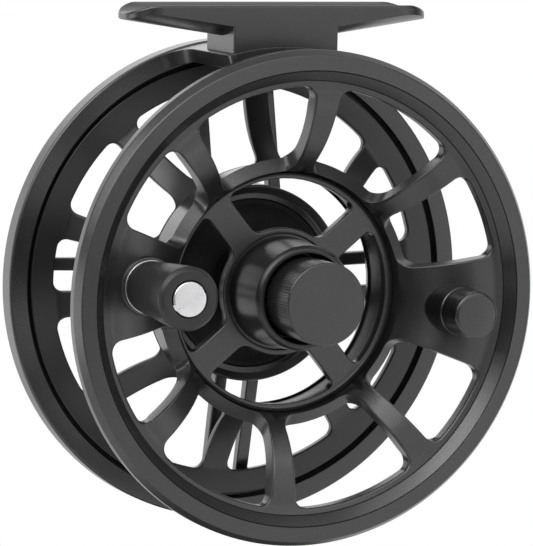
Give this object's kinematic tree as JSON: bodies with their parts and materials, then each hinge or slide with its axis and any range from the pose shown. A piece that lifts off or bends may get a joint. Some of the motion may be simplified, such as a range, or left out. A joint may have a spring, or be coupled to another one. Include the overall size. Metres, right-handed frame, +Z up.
{
  "type": "fly fishing reel",
  "caption": "Open-frame fly reel: ported spool with a crank handle and counterweight, half frame with a bridge to a rod foot, disc drag with a rear knob.",
  "frame": {"origin": "middle of the foot's top, between its two flat edge lands, where the rod's reel seat bears", "axes": "+X along the foot and the rod, +Y along the spool axis from the handle side to the drag knob, +Z up out of the foot towards the rod"},
  "size_m": [0.092, 0.0652, 0.0993],
  "materials": {
    "anodised_black": "satin black anodised",
    "handle_plastic": "matte black",
    "gloss_black": "polished black",
    "bright_steel": "bright turned steel",
    "bearing_brass": "turned",
    "drag_carbon": "woven carbon",
    "seal_rubber": "matte"
  },
  "bodies": {
    "frame": {"frame_ring": "anodised_black", "frame_back": "anodised_black", "reel_foot": "anodised_black", "foot_screw_left": "bright_steel", "foot_screw_right": "bright_steel", "spindle": "bright_steel", "drag_cover": "anodised_black", "cover_snap_ring": "bright_steel", "drag_seal": "seal_rubber", "drag_washer_front": "drag_carbon", "disc_spring": "bright_steel", "drag_knob_screw": "bright_steel", "click_pivot": "bright_steel", "click_spring": "bright_steel"},
    "spool": {"spool_front_flange": "anodised_black", "spool_hub": "anodised_black", "spool_arbor": "anodised_black", "spool_rear_flange": "anodised_black", "counterweight": "gloss_black", "counterweight_screw": "bright_steel", "handle_screw": "bright_steel", "handle_washer": "bright_steel", "handle_bushing": "bearing_brass", "spool_bearing": "bright_steel", "one_way_clutch": "bright_steel"},
    "handle": {"handle_knob": "handle_plastic"},
    "release_knob": {"release_knob": "anodised_black"},
    "drag_rotor": {"drag_rotor": "bright_steel", "click_gear": "bearing_brass"},
    "drag_knob": {"drag_knob": "anodised_black"},
    "pressure_plate": {"pressure_plate": "bright_steel", "drag_washer_rear": "drag_carbon", "thrust_pin_1": "bright_steel", "thrust_pin_2": "bright_steel", "thrust_pin_3": "bright_steel"},
    "click_pawl": {"click_pawl": "gloss_black"}
  },
  "joints": [
    {"name": "spool_spin", "type": "hinge", "parent": "frame", "child": "spool", "pos_m": [0, 0, -0.0533], "axis": [0, 1, 0], "continuous": true},
    {"name": "handle_spin", "type": "hinge", "parent": "spool", "child": "handle", "pos_m": [-0.03116, -0.01915, -0.0503], "axis": [0, 1, 0], "continuous": true},
    {"name": "release_knob_turn", "type": "hinge", "parent": "frame", "child": "release_knob", "pos_m": [0, -0.01915, -0.0533], "axis": [0, -1, 0], "range_deg": [0, 360]},
    {"name": "drag_rotor_spin", "type": "hinge", "parent": "frame", "child": "drag_rotor", "pos_m": [0, 0.01285, -0.0533], "axis": [0, 1, 0], "continuous": true},
    {"name": "drag_knob_turn", "type": "hinge", "parent": "frame", "child": "drag_knob", "pos_m": [0, 0.02585, -0.0533], "axis": [0, -1, 0], "range_deg": [0, 300]},
    {"name": "pressure_plate_slide", "type": "slide", "parent": "frame", "child": "pressure_plate", "axis": [0, -1, 0], "range_m": [0, 0.00025]},
    {"name": "click_pawl_swing", "type": "hinge", "parent": "frame", "child": "click_pawl", "pos_m": [0.00553, 0.01005, -0.04088], "axis": [0, -1, 0], "range_deg": [0, 8], "stiffness_Nm_per_rad": 0.0005, "springref_deg": 13.75}
  ],
  "couplings": [
    {"joint": "drag_rotor_spin", "follows": "spool_spin", "ratio": 1},
    {"joint": "drag_knob_turn", "follows": "pressure_plate_slide", "rad_per_m": 20944}
  ]
}
